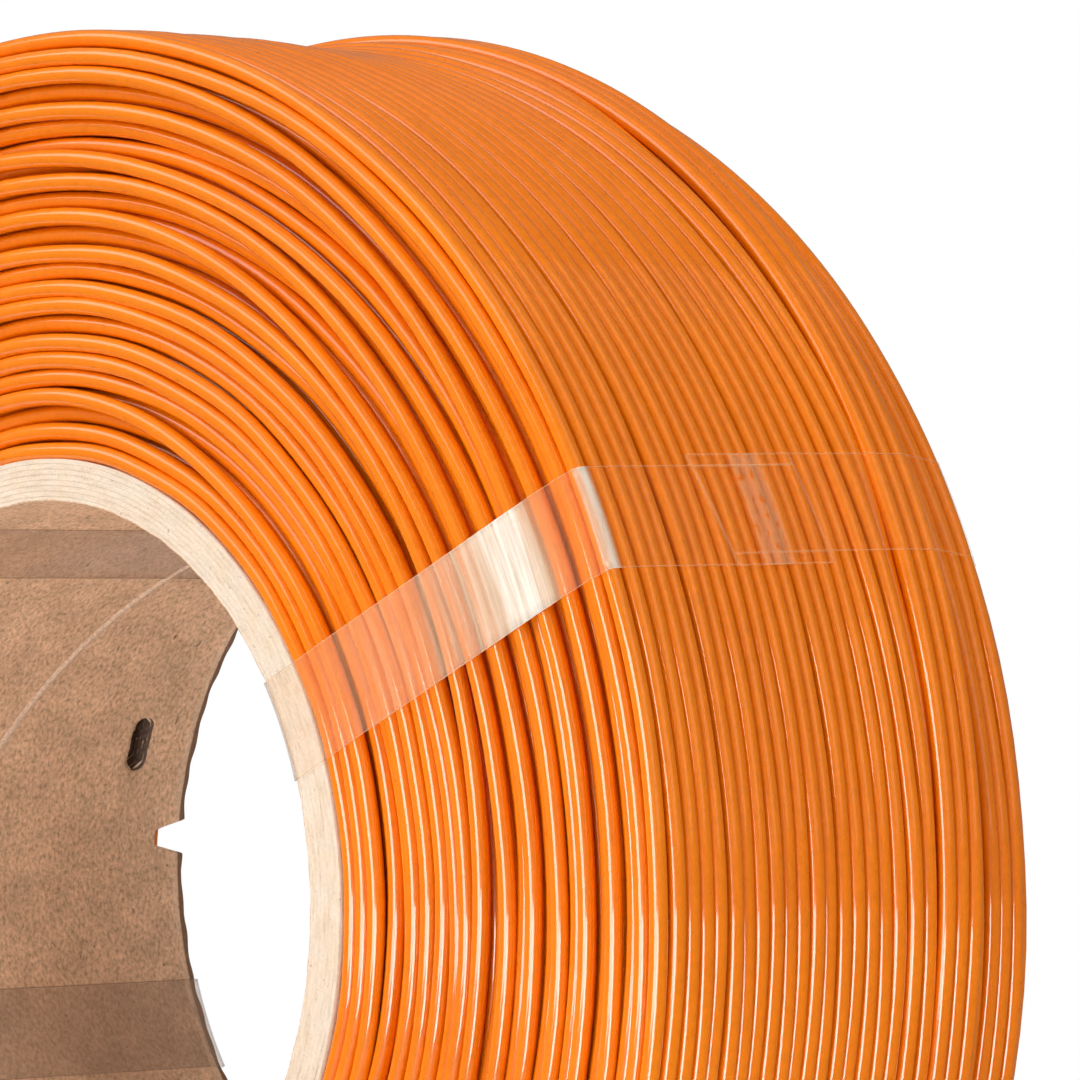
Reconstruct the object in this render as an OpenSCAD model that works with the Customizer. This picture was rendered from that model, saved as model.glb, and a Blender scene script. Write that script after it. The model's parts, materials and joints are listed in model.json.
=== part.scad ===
// Filament refill coil: filament wound in layers on a paper tube and held by four tape straps.
// The coil stands like a wheel. Y is its axis, Z is up, and the origin is the middle of the bore.

/* [Paper core] */
// Diameter of the bore that a hub goes into
bore_d = 76; // [50:1:90]
// Thickness of the whole tube wall
core_wall = 4.2; // [3:0.1:6]
// Length of the tube
core_len = 50.2; // [40:0.1:80]
// Thickness of the kraft liner, which is the innermost ply
liner_t = 0.5; // [0.3:0.05:0.8]
// Thickness of the outermost ply
outer_ply_t = 0.5; // [0.3:0.05:0.8]
// Number of board plies between the liner and the outermost ply
board_plies = 6; // [1:1:6]

/* [Start slot] */
// Width of the slot for the start of the strand, along the axis
slot_w = 2.6; // [2:0.1:4]
// Length of the slot, around the tube
slot_l = 6; // [5:0.1:9]
// Distance from the middle of the slot to the rear end of the tube
slot_from_end = 8.1; // [7:0.1:20]
// Direction of the slot, counted up from the right
slot_angle = 160; // [130:1:166]

/* [Key notch] */
// Width of the notch at the rear end of the tube
notch_mouth_w = 3.6; // [2:0.1:5]
// Width of the notch at its floor
notch_floor_w = 1.4; // [0.5:0.1:2]
// Depth of the notch, along the axis
notch_depth = 4.4; // [2:0.1:6]
// Direction of the notch, counted up from the right
notch_angle = 175.6; // [172:0.1:190]

/* [Winding] */
// Width of the winding, along the axis
winding_w = 50.6; // [40.4:0.1:80.4]
// Number of full layers of strand
layers = 24; // [2:1:24]
// Height that each layer adds to the radius
layer_rise = 1.74; // [1.5:0.01:1.8]
// How far the last full layer stops short of the rear face
last_layer_short = 1.8; // [0:0.1:4]
// Number of turns that lie on top of the last full layer
top_turns = 3; // [2:1:5]
// Distance between neighbouring turns
turn_pitch = 1.8; // [1.75:0.01:2]
// Height of the top turns, which sink into the grooves below them
top_rise = 1.44; // [1.2:0.01:1.6]
// Distance from the rear face to the top turns
top_from_rear = 5.2; // [4.5:0.1:12]

/* [Tape straps] */
// Width of the tape
tape_w = 10; // [6:0.5:16]
// Thickness of the tape
tape_t = 0.06; // [0.05:0.01:0.12]
// Length over which the two ends of a strap overlap
overlap_l = 12.4; // [6:0.1:20]
// Distance from the front face to the end of the tape that lies on top
overlap_from_front = 15; // [8:0.1:18]

/* [Hidden] */
core_colour = "#f5e2cc";
kraft_colour = "#b98b6a";
filament_colour = "#e8741a";
tape_colour = [0.96, 0.86, 0.74, 0.4];

bore_r = bore_d / 2;
core_r = bore_r + core_wall;
board_r = bore_r + liner_t;
board_t = (core_wall - liner_t - outer_ply_t) / board_plies;
core_end = core_len / 2;

winding_end = winding_w / 2;
full_r = core_r + layers * layer_rise;
top_r = full_r + top_rise;
top_w = top_turns * turn_pitch;
top_rear = winding_end - top_from_rear;
top_front = top_rear - top_w;

// A strap for each quarter of the coil, set by hand so that they are not quite evenly spaced
STRAP_ANGLES = [26, 119, 206, 296];
// Share of a layer's rise that a strap's edge is cut back by where it folds over the rim
FOLD_SHARE = 0.28;
fold = FOLD_SHARE * layer_rise;
overlap_front = overlap_from_front - winding_end;
overlap_rear = overlap_front + overlap_l;

BORE_FN = 144;
RIM_FN = 180;
STRAND_FN = 24;
SLOT_FN = 32;
// Extra length of a tool that cuts through a surface
CUT = 1;

function two_digits(n) = n < 10 ? str("0", n) : str(n);
function board_name(i) = str("core_board_", i);
function layer_name(i) = str("winding_layer_", two_digits(i));
function strap_name(i) = str("tape_strap_", i);

// Turns a shape that is revolved about Z so that it is revolved about Y, its +Z side to the rear
module along_axis() {
  rotate([-90, 0, 0]) children();
}

// Points a tool that is drawn along +X in a direction counted up from the right
module towards(angle) {
  rotate([0, -angle, 0]) children();
}

// Slot through the tube wall, in which the start of the strand is caught
module start_slot() {
  run = slot_l - slot_w;
  reach = core_wall + 2 * CUT;
  towards(slot_angle)
    translate([bore_r - CUT, core_end - slot_from_end, 0]) {
      translate([0, -slot_w / 2, -run / 2]) cube([reach, slot_w, run]);
      for (side = [-1, 1])
        translate([0, 0, side * run / 2])
          rotate([0, 90, 0]) cylinder(h = reach, d = slot_w, $fn = SLOT_FN);
    }
}

// Notch with sloping sides in the rear end of the tube
module key_notch() {
  mouth = notch_mouth_w / 2;
  floor_half = notch_floor_w / 2;
  slope = (mouth - floor_half) / notch_depth;
  outside = mouth + slope * CUT;
  towards(notch_angle)
    translate([bore_r - CUT, core_end, 0])
      rotate([90, 0, 90])
        linear_extrude(height = core_wall + 2 * CUT)
          polygon([
            [-notch_depth, -floor_half],
            [-notch_depth, floor_half],
            [CUT, outside],
            [CUT, -outside]
          ]);
}

// One ply of the tube, with the slot and the notch cut through it
module ply(inner_r, thickness) {
  difference() {
    along_axis()
      difference() {
        cylinder(h = core_len, r = inner_r + thickness, center = true, $fn = BORE_FN);
        cylinder(h = core_len + 2 * CUT, r = inner_r, center = true, $fn = BORE_FN);
      }
    start_slot();
    key_notch();
  }
}

module core_liner() {
  color(kraft_colour) ply(bore_r, liner_t);
}

module core_board(i) {
  color(core_colour) ply(board_r + (i - 1) * board_t, board_t);
}

module core_outer_ply() {
  color(core_colour) ply(core_r - outer_ply_t, outer_ply_t);
}

// One layer of turns, with the round edge of its end turn at each face
module layer_ring(inner_r, rise, front, rear) {
  along_axis()
    rotate_extrude($fn = RIM_FN)
      translate([inner_r + rise / 2, 0]) {
        translate([-rise / 2, front + rise / 2]) square([rise, rear - front - rise]);
        translate([0, front + rise / 2]) circle(d = rise, $fn = STRAND_FN);
        translate([0, rear - rise / 2]) circle(d = rise, $fn = STRAND_FN);
      }
}

module winding_layer(i) {
  short = i == layers ? last_layer_short : 0;
  color(filament_colour)
    layer_ring(core_r + (i - 1) * layer_rise, layer_rise, -winding_end, winding_end - short);
}

module winding_top_turns() {
  color(filament_colour) layer_ring(full_r, top_rise, top_front, top_rear);
}

// Radius of the line that a strap takes from the front edge of the rim up to the top turns
function rim_r(y) = full_r + (top_r - full_r) * (y + winding_end) / (top_front + winding_end);

// Outline of the path that a strap is pulled tight around, as radius and place on the axis
function strap_path() = [
  [bore_r, -core_end],
  [core_r, -core_end],
  [core_r + layer_rise / 2, -winding_end],
  [full_r - fold, -winding_end],
  [full_r, -winding_end + fold],
  [top_r, top_front],
  [top_r, top_rear],
  [full_r, winding_end - fold],
  [full_r - fold, winding_end],
  [core_r + layer_rise / 2, winding_end],
  [core_r, core_end],
  [bore_r, core_end]
];

// The same outline moved out by the tape's thickness, with a second thickness at the overlap
function strap_outside() = [
  [bore_r - tape_t, -core_end - tape_t],
  [core_r, -core_end - tape_t],
  [core_r + layer_rise / 2, -winding_end - tape_t],
  [full_r - fold, -winding_end - tape_t],
  [full_r + tape_t, -winding_end + fold],
  [rim_r(overlap_front) + tape_t, overlap_front],
  [rim_r(overlap_front) + 2 * tape_t, overlap_front],
  [rim_r(overlap_rear) + 2 * tape_t, overlap_rear],
  [rim_r(overlap_rear) + tape_t, overlap_rear],
  [top_r + tape_t, top_front],
  [top_r + tape_t, top_rear],
  [full_r + tape_t, winding_end - fold],
  [full_r - fold, winding_end + tape_t],
  [core_r + layer_rise / 2, winding_end + tape_t],
  [core_r, core_end + tape_t],
  [bore_r - tape_t, core_end + tape_t]
];

// One strap: through the bore, over both faces and around the rim
module tape_strap(i) {
  color(tape_colour)
    towards(STRAP_ANGLES[i - 1])
      intersection() {
        along_axis()
          rotate_extrude($fn = RIM_FN)
            difference() {
              polygon(strap_outside());
              polygon(strap_path());
            }
        translate([0, -winding_w, -tape_w / 2]) cube([top_r + 2 * CUT, 2 * winding_w, tape_w]);
      }
}

core_liner();
for (i = [1:board_plies])
  core_board(i);
core_outer_ply();
for (i = [1:layers])
  winding_layer(i);
winding_top_turns();
for (i = [1:len(STRAP_ANGLES)])
  tape_strap(i);
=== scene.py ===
# %% [markdown]
# # A refill coil of printer filament
#
# The object is one long orange strand, wound in layers on a paper tube and held by four straps of
# clear tape. The solids of the design are loaded first. They say where everything goes, and they
# stay hidden under the finer pieces that are made here.

# %% Load the solids
import bpy
import json
import math
import numpy as np
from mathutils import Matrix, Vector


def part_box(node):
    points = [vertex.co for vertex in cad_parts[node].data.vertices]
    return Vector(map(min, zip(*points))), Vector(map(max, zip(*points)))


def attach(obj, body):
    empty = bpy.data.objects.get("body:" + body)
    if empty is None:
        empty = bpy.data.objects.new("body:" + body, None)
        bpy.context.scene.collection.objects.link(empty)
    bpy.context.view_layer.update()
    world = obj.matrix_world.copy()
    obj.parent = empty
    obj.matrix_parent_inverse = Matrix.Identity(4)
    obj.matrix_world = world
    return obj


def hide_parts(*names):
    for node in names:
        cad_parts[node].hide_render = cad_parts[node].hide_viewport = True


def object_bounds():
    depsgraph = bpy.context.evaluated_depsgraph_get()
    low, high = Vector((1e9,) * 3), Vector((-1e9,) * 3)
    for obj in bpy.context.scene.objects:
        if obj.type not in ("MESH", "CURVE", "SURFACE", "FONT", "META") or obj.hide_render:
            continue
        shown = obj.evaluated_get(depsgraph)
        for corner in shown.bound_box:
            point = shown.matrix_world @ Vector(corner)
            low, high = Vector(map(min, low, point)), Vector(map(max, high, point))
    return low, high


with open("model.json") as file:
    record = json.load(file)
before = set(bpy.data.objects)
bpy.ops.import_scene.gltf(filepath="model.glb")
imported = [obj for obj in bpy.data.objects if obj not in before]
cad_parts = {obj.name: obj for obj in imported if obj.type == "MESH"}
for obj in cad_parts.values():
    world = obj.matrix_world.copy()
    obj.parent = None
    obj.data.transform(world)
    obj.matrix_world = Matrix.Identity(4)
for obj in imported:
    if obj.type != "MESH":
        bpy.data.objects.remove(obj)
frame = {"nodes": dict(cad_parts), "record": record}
record = frame["record"]
solid_low, solid_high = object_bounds()
print("solids:", len(frame["nodes"]), "box", tuple(solid_low), tuple(solid_high))

# %% [markdown]
# ## Sizes
#
# The radius of the tube, the height that each layer of strand adds and the width of the winding are
# read from the boxes of the solids, so that a change in the design moves the finer pieces along
# with it. Only what no box shows, such as the slot in the tube's wall, is written here again.

# %% Read the sizes of the tube and the winding
MM = 0.001
layer_names = sorted(n for n in frame["nodes"] if n.startswith("winding_layer_"))
layers = len(layer_names)
bore_r = record["mounts"][0]["dims"]["r_mm"] * MM
tube_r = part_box("core_outer_ply")[1].x
tube_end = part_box("core_outer_ply")[1].y
full_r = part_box(layer_names[-1])[1].x
winding_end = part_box(layer_names[0])[1].y
last_layer_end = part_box(layer_names[-1])[1].y
rise = (full_r - tube_r) / layers
top_low, top_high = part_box("winding_top_turns")
print("tube radius", tube_r, "winding radius", full_r, "layers", layers, "rise", rise)

# %% Size of the strand
strand_r = rise / 2
strand_pitch = 1.8 * MM
print("strand across", 2 * strand_r)

# %% [markdown]
# ## Camera and background
#
# A long lens far away keeps the round coil from looking stretched. The camera stands level and
# looks at the front face from the side, so that face, rim and bore all show. The world looks pure
# white to the camera, while it lights the coil with a softer grey: the Light Path node tells the two
# kinds of ray apart.

# %% Place the camera
from mathutils import Vector

camera_data = bpy.data.cameras.new("camera")
camera_data.lens = 220.4
camera_data.sensor_width = 36
camera_data.clip_start = 0.01
camera_data.clip_end = 100
camera = bpy.data.objects.new("camera", camera_data)
bpy.context.scene.collection.objects.link(camera)
camera.location = (0.49533, -0.43493, 0.0331)
camera_target = Vector((0.01947, 0.02237, 0.03435))
aim = camera_target - camera.location
camera.rotation_mode = "QUATERNION"
camera.rotation_quaternion = aim.to_track_quat("-Z", "Y")
bpy.context.scene.camera = camera
bpy.context.scene.view_settings.view_transform = "Standard"
print("camera", tuple(camera.location), "lens", camera_data.lens)


# %% Make the white background
def link(tree, source, target):
    tree.links.new(source, target)


world = bpy.data.worlds.new("white_room")
bpy.context.scene.world = world
world.use_nodes = True
world_tree = world.node_tree
world_tree.nodes.clear()
room_light = world_tree.nodes.new("ShaderNodeBackground")
room_light.inputs["Color"].default_value = (1.0, 0.98, 0.96, 1)
room_light.inputs["Strength"].default_value = 0.22
room_seen = world_tree.nodes.new("ShaderNodeBackground")
room_seen.inputs["Color"].default_value = (1, 1, 1, 1)
room_seen.inputs["Strength"].default_value = 1.0
ray_kind = world_tree.nodes.new("ShaderNodeLightPath")
room_mix = world_tree.nodes.new("ShaderNodeMixShader")
room_out = world_tree.nodes.new("ShaderNodeOutputWorld")
link(world_tree, ray_kind.outputs["Is Camera Ray"], room_mix.inputs["Fac"])
link(world_tree, room_light.outputs[0], room_mix.inputs[1])
link(world_tree, room_seen.outputs[0], room_mix.inputs[2])
link(world_tree, room_mix.outputs[0], room_out.inputs["Surface"])
print("world", world.name)


# %% [markdown]
# ## Lights
#
# A shiny round strand works like a long thin mirror: it shows each lamp as a line. How bright the
# coil is and where those lines lie are two questions, so each gets lamps of its own. The fill lamps
# are large, light the colours and are left out of reflections. The shine lamps are seen only in
# reflections, and their edges say where the white lines on the rim start and stop. One set of
# lamps could do both, but then moving a line would also change how bright the coil is.

# %% Hang the soft boxes
def soft_box(name, place, target, width, height, watts, fills=True, shines=True):
    data = bpy.data.lights.new(name, "AREA")
    data.shape = "RECTANGLE"
    data.size = width
    data.size_y = height
    data.energy = watts
    lamp = bpy.data.objects.new(name, data)
    bpy.context.scene.collection.objects.link(lamp)
    lamp.location = place
    direction = Vector(target) - Vector(place)
    lamp.rotation_mode = "QUATERNION"
    lamp.rotation_quaternion = direction.to_track_quat("-Z", "Y")
    lamp.visible_diffuse = fills
    lamp.visible_glossy = shines
    print("soft box", name, "at", place, "watts", watts)


# Each line gives the place of a lamp, the point it is turned to, its width, height and watts
soft_box("overhead_fill", (-0.35, -0.45, 0.95), (0, 0, 0.02), 1.1, 0.7, 8.5, shines=False)
soft_box("left_fill", (-0.9, -0.75, 0.35), (0, 0, 0), 0.5, 0.8, 7.5, shines=False)
soft_box("right_fill", (1.3, -0.2, 0.5), (0, 0, 0), 0.9, 0.9, 8.0, shines=False)
soft_box("back_fill", (-0.5, 1.1, 0.6), (0, 0, 0), 0.8, 0.8, 6, shines=False)
soft_box("low_fill", (0.45, -0.9, -0.28), (0, 0, 0.01), 0.4, 0.3, 3.6, shines=False)
soft_box("tall_front_shine", (0.178, -0.79, 0.075), (0.06, 0, 0), 0.40, 0.42, 7.5, fills=False)
soft_box("low_side_shine", (0.535, -0.70, -0.16), (0.08, 0, 0), 0.30, 0.27, 5.0, fills=False)
soft_box("high_front_shine", (-0.42, -0.68, 0.65), (0, 0, 0.03), 1.0, 0.42, 4.5, fills=False)
soft_box("overhead_shine", (-0.18, -0.2, 0.95), (0, 0, 0.03), 0.7, 0.25, 0.3, fills=False)
soft_box("rim_shine", (0.9, -0.06, 0.8), (0, 0, 0), 0.8, 1.7, 4.0, fills=False)

# %% [markdown]
# Many pieces are drawn from a list of corners and a list of faces, so one helper turns such lists
# into an object. The first is the floor. It is a small round plate, because a large one would
# stand in front of the two lamps that hang lower than it.

# %% Make a piece from corners and faces
def new_piece(name, points, faces, finishes):
    mesh = bpy.data.meshes.new(name)
    mesh.from_pydata(points, [], faces)
    for finish in finishes:
        mesh.materials.append(finish)
    piece = bpy.data.objects.new(name, mesh)
    bpy.context.scene.collection.objects.link(piece)
    return piece


# %% Lay the pale floor
FLOOR_R = 0.24
FLOOR_STEPS = 96
FLOOR_GAP = 0.0002
floor_z = solid_low.z - FLOOR_GAP
floor_turn = [2 * math.pi * step / FLOOR_STEPS for step in range(FLOOR_STEPS)]
floor_points = [(FLOOR_R * math.cos(a), FLOOR_R * math.sin(a), floor_z) for a in floor_turn]
floor = new_piece("floor", floor_points, [tuple(range(FLOOR_STEPS))], [])
print("floor at", floor_z)


# %% [markdown]
# ## Finishes
#
# Every finish is made of nodes, so that it has no picture files and no seams. The small helpers
# below keep the node code short: each adds one node, joins it up and gives back its result.

# %% Helpers for noise and colours
def new_finish(name):
    finish = bpy.data.materials.new(name)
    finish.use_nodes = True
    tree = finish.node_tree
    shader = tree.nodes["Principled BSDF"]
    return finish, tree, shader


def object_place(tree):
    return tree.nodes.new("ShaderNodeTexCoord").outputs["Object"]


def noise(tree, vector, scale, detail=3.0, roughness=0.5):
    node = tree.nodes.new("ShaderNodeTexNoise")
    node.inputs["Scale"].default_value = scale
    node.inputs["Detail"].default_value = detail
    node.inputs["Roughness"].default_value = roughness
    link(tree, vector, node.inputs["Vector"])
    return node.outputs["Fac"]


def ramp(tree, value, stops, mode="LINEAR"):
    node = tree.nodes.new("ShaderNodeValToRGB")
    node.color_ramp.interpolation = mode
    while len(node.color_ramp.elements) < len(stops):
        node.color_ramp.elements.new(0.5)
    for element, (place, colour) in zip(node.color_ramp.elements, stops):
        element.position = place
        element.color = (*colour, 1) if len(colour) == 3 else colour
    link(tree, value, node.inputs["Fac"])
    return node.outputs["Color"]


def spread(tree, value, low, high, out_low, out_high):
    node = tree.nodes.new("ShaderNodeMapRange")
    node.inputs["From Min"].default_value = low
    node.inputs["From Max"].default_value = high
    node.inputs["To Min"].default_value = out_low
    node.inputs["To Max"].default_value = out_high
    link(tree, value, node.inputs["Value"])
    return node.outputs["Result"]


# %% Helpers for sums and blends
def maths(tree, operation, a, b=0.0):
    node = tree.nodes.new("ShaderNodeMath")
    node.operation = operation
    for socket, value in zip(node.inputs, (a, b)):
        if isinstance(value, (int, float)):
            socket.default_value = value
        else:
            link(tree, value, socket)
    return node.outputs[0]


def blend_colours(tree, share, first, second, kind="MIX"):
    node = tree.nodes.new("ShaderNodeMix")
    node.data_type = "RGBA"
    node.blend_type = kind
    if isinstance(share, (int, float)):
        node.inputs[0].default_value = share
    else:
        link(tree, share, node.inputs[0])
    for socket, value in zip((node.inputs[6], node.inputs[7]), (first, second)):
        if isinstance(value, tuple):
            socket.default_value = (*value, 1)
        else:
            link(tree, value, socket)
    return node.outputs[2]


def stretched(tree, vector, x, y, z):
    node = tree.nodes.new("ShaderNodeVectorMath")
    node.operation = "MULTIPLY"
    node.inputs[1].default_value = (x, y, z)
    link(tree, vector, node.inputs[0])
    return node.outputs[0]


def bumps(tree, shader, height, distance, strength=1.0):
    node = tree.nodes.new("ShaderNodeBump")
    node.inputs["Distance"].default_value = distance
    node.inputs["Strength"].default_value = strength
    link(tree, height, node.inputs["Height"])
    link(tree, node.outputs[0], shader.inputs["Normal"])


# %% [markdown]
# The tube is rolled up from paper, and its fibres, plies and stains follow the roll. Noise that is
# read in plain x, y and z would cut straight through them. So it is read in rolled-out coordinates:
# distance from the axis, way around it and place along it, all in millimetres.

# %% Coordinates that follow the roll
TO_MM = 1000.0
WALL_MM = 40.0


def around_the_axis(tree):
    """Rolled-out coordinates as one vector, and on their own the radius and the place along the axis."""
    split = tree.nodes.new("ShaderNodeSeparateXYZ")
    link(tree, object_place(tree), split.inputs[0])
    x, y, z = split.outputs
    x_squared = maths(tree, "MULTIPLY", x, x)
    z_squared = maths(tree, "MULTIPLY", z, z)
    across = maths(tree, "POWER", maths(tree, "ADD", x_squared, z_squared), 0.5)
    angle = maths(tree, "ARCTAN2", z, x)
    joined = tree.nodes.new("ShaderNodeCombineXYZ")
    link(tree, maths(tree, "MULTIPLY", across, TO_MM), joined.inputs[0])
    link(tree, maths(tree, "MULTIPLY", angle, WALL_MM), joined.inputs[1])
    link(tree, maths(tree, "MULTIPLY", y, TO_MM), joined.inputs[2])
    return joined.outputs[0], across, y


# %% [markdown]
# ### Filament
#
# The strand is drawn plastic: the colour goes right through it, and its skin is smooth but not
# polished. One shiny surface could show it, but then a bright line would be either too soft or too
# hard. So the body shines little, a thin clear coat over it gives the sharp lines of light, and a
# very fine grain breaks them up a bit.

# %% Orange filament
def make_filament():
    finish, tree, shader = new_finish("orange_filament")
    place = object_place(tree)
    cloud = noise(tree, place, 55, 2)
    grain = noise(tree, place, 1100, 4, 0.6)
    colour = ramp(tree, cloud, [(0.3, (0.88, 0.202, 0.0)), (0.7, (0.95, 0.232, 0.0))])
    grainy = ramp(tree, grain, [(0.3, (0.86, 0.86, 0.86)), (0.62, (1, 1, 1))])
    colour = blend_colours(tree, 0.6, colour, grainy, "MULTIPLY")
    link(tree, colour, shader.inputs["Base Color"])
    link(tree, spread(tree, grain, 0.3, 0.7, 0.26, 0.4), shader.inputs["Roughness"])
    shader.inputs["IOR"].default_value = 1.48
    shader.inputs["Specular IOR Level"].default_value = 0.12
    shader.inputs["Coat Weight"].default_value = 0.75
    shader.inputs["Coat Roughness"].default_value = 0.07
    bumps(tree, shader, grain, 0.00002, 0.2)
    return finish


filament = make_filament()
print("finish", filament.name)


# %% [markdown]
# ### Kraft paper
#
# The inside of the tube is brown kraft paper. Its long fibres give light and dark streaks, and
# some bits in it are much darker or paler. Near the rear end the colour is paler in a narrow strip,
# and dark brown at the very edge. A plain brown would look like plastic, so each of these is a
# layer of noise or a strip laid over the one before.

# %% Kraft paper liner
def make_kraft():
    finish, tree, shader = new_finish("kraft_paper")
    polar, _, along = around_the_axis(tree)
    fibres = noise(tree, stretched(tree, polar, 1, 0.8, 1.2), 2.1, 6, 0.72)
    mottle = noise(tree, polar, 0.22, 4, 0.6)
    flecks = noise(tree, stretched(tree, polar, 1, 0.5, 1.1), 0.8, 2)
    specks = noise(tree, polar, 2.3, 0)
    shades = [(0.32, (0.40, 0.25, 0.15)), (0.47, (0.74, 0.49, 0.31)), (0.66, (0.98, 0.70, 0.49))]
    colour = ramp(tree, fibres, shades)
    tint = ramp(tree, mottle, [(0.3, (0.82, 0.80, 0.78)), (0.7, (1.10, 1.09, 1.08))])
    colour = blend_colours(tree, 1.0, colour, tint, "MULTIPLY")
    dark = spread(tree, flecks, 0.275, 0.245, 0, 0.8)
    colour = blend_colours(tree, dark, colour, (0.20, 0.11, 0.06))
    pale = spread(tree, specks, 0.77, 0.83, 0, 0.6)
    colour = blend_colours(tree, pale, colour, (0.86, 0.70, 0.56))
    # Near the rear end: a paler strip, then dark brown at the very edge.
    pale_strip_starts = spread(tree, along, 0.0232, 0.0237, 0, 0.35)
    pale_strip_stops = spread(tree, along, 0.0242, 0.0240, 0, 1)
    pale_strip = maths(tree, "MULTIPLY", pale_strip_starts, pale_strip_stops)
    colour = blend_colours(tree, pale_strip, colour, (0.86, 0.68, 0.52))
    dark_edge = spread(tree, along, 0.0241, 0.0243, 0, 0.85)
    colour = blend_colours(tree, dark_edge, colour, (0.16, 0.075, 0.035))
    link(tree, colour, shader.inputs["Base Color"])
    link(tree, spread(tree, fibres, 0.3, 0.7, 0.78, 0.92), shader.inputs["Roughness"])
    shader.inputs["Specular IOR Level"].default_value = 0.3
    bumps(tree, shader, fibres, 0.0002, 0.5)
    return finish


kraft = make_kraft()
print("finish", kraft.name)


# %% [markdown]
# The edge of the kraft strip stands up a little where it laps over itself and is glued down. Its
# finish has the fibres of the kraft paper in a paler shade, a painted highlight along the raised line.

# %% Painted highlight on the glued edge of the kraft strip
def make_seam_painted_light():
    finish, tree, shader = new_finish("glued_seam_painted_light")
    polar = around_the_axis(tree)[0]
    fibres = noise(tree, polar, 2.4, 5, 0.7)
    # Paler kraft shades: a painted highlight along the raised seam.
    pale = [(0.32, (0.62, 0.42, 0.28)), (0.6, (0.98, 0.76, 0.58))]
    link(tree, ramp(tree, fibres, pale), shader.inputs["Base Color"])
    link(tree, spread(tree, fibres, 0.3, 0.7, 0.75, 0.92), shader.inputs["Roughness"])
    bumps(tree, shader, fibres, 0.0002, 0.5)
    return finish


seam_paper_painted_light = make_seam_painted_light()
print("finish", seam_paper_painted_light.name)


# %% [markdown]
# ### Board
#
# The wall of the tube is pale board. What shows of it is the cut end, where the plies are faint
# rings. The noise for them is stretched around the tube, so that it changes fast from one ply to
# the next and slowly along each. A fine grain, a few stains and small dark specks go over it.

# %% Pale board of the tube
def make_board():
    finish, tree, shader = new_finish("pale_board")
    polar = around_the_axis(tree)[0]
    plies = noise(tree, stretched(tree, polar, 1, 0.15, 1), 2.2, 4, 0.6)
    grain = noise(tree, polar, 3.0, 4, 0.7)
    blotch = noise(tree, polar, 0.35, 2)
    specks = noise(tree, polar, 2.1, 1)
    low = (0.76, 0.61, 0.47)
    high = (0.88, 0.735, 0.595)
    colour = ramp(tree, plies, [(0.3, low), (0.62, high)])
    tint = ramp(tree, blotch, [(0.35, (1.0, 0.96, 0.90)), (0.65, (1, 1, 1))])
    colour = blend_colours(tree, 1.0, colour, tint, "MULTIPLY")
    worn = ramp(tree, grain, [(0.3, (0.88, 0.86, 0.83)), (0.55, (1, 1, 1))])
    colour = blend_colours(tree, 0.8, colour, worn, "MULTIPLY")
    dark = spread(tree, specks, 0.27, 0.23, 0, 0.7)
    colour = blend_colours(tree, dark, colour, (0.45, 0.36, 0.25))
    link(tree, colour, shader.inputs["Base Color"])
    link(tree, spread(tree, grain, 0.3, 0.7, 0.8, 0.95), shader.inputs["Roughness"])
    shader.inputs["Specular IOR Level"].default_value = 0.25
    bumps(tree, shader, grain, 0.00025, 0.6)
    return finish


board = make_board()
print("finish", board.name)


# %% [markdown]
# The slot is punched through the wall, and its sides are rough. They are a finish of their own: a dark
# brown that paints the shade in so narrow a hole, because the pale board would glow there.

# %% Painted shade on the wall of the start slot
def make_painted_shade_slot_wall():
    finish, tree, shader = new_finish("painted_shade_slot_wall")
    polar = around_the_axis(tree)[0]
    grain = noise(tree, polar, 2.6, 4, 0.7)
    # Dark browns: painted shade of the narrow hole, darker than the board itself.
    colour = ramp(tree, grain, [(0.3, (0.09, 0.05, 0.03)), (0.7, (0.24, 0.15, 0.095))])
    link(tree, colour, shader.inputs["Base Color"])
    link(tree, spread(tree, grain, 0.3, 0.7, 0.8, 0.95), shader.inputs["Roughness"])
    bumps(tree, shader, grain, 0.0002, 0.6)
    return finish


painted_shade_slot_wall = make_painted_shade_slot_wall()
print("finish", painted_shade_slot_wall.name)


# %% [markdown]
# ### Clear tape
#
# Clear film shows mostly what lies under it. Glass could be used for it, but light would then have
# to find its way through many layers, and that takes long. So the film is a plain surface that is
# see-through, and a share from 0 to 1 says how much of it shows at each place. It is milky where
# it hangs over the outer end turns on a face, and clear elsewhere. In that milk, a patch partway out
# and a band at the fold onto the rim are painted reflections of the lamps, white and nearly solid.
# Its cut edges and its ends are thin pale lines, and a patch of glue shows in the part where it lies
# double.
#
# The lines need to know where they are on the strip. A map from the mesh, along_tape, tells it: its
# first number goes from 0 to 1 across the strip, and its second from 0 to 1 along the double part
# and on to 3, where the strip closes.

# %% Places on the tape
FACE_FROM, FACE_TO = 0.0232, 0.0239
BORE_FROM, BORE_TO = 0.0386, 0.0382
EDGE_WIDE = 0.012
END_WIDE = 0.014
TAPE_ENDS = (0, 1, 3)
INNER_EDGES = (0.12, 1.12)
GLUE_MIDDLE, GLUE_REACH = 0.51, 0.15
# Share of milk from the tube to the rim. The steps at 0.64 to 0.76 and 0.95 to 1.0 are painted
# reflections: a patch on the face and the fold onto the rim.
FROST_AND_SHEEN = [
    (0.00, 0.05),
    (0.10, 0.13),
    (0.40, 0.24),
    (0.56, 0.42),
    (0.64, 0.80),
    (0.70, 1.00),
    (0.76, 0.90),
    (0.80, 0.22),
    (0.86, 0.05),
    (0.93, 0.06),
    (0.95, 0.90),
    (1.00, 1.00),
]
print("frost on the tape's faces:", len(FROST_AND_SHEEN), "steps from the tube to the rim")


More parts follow.
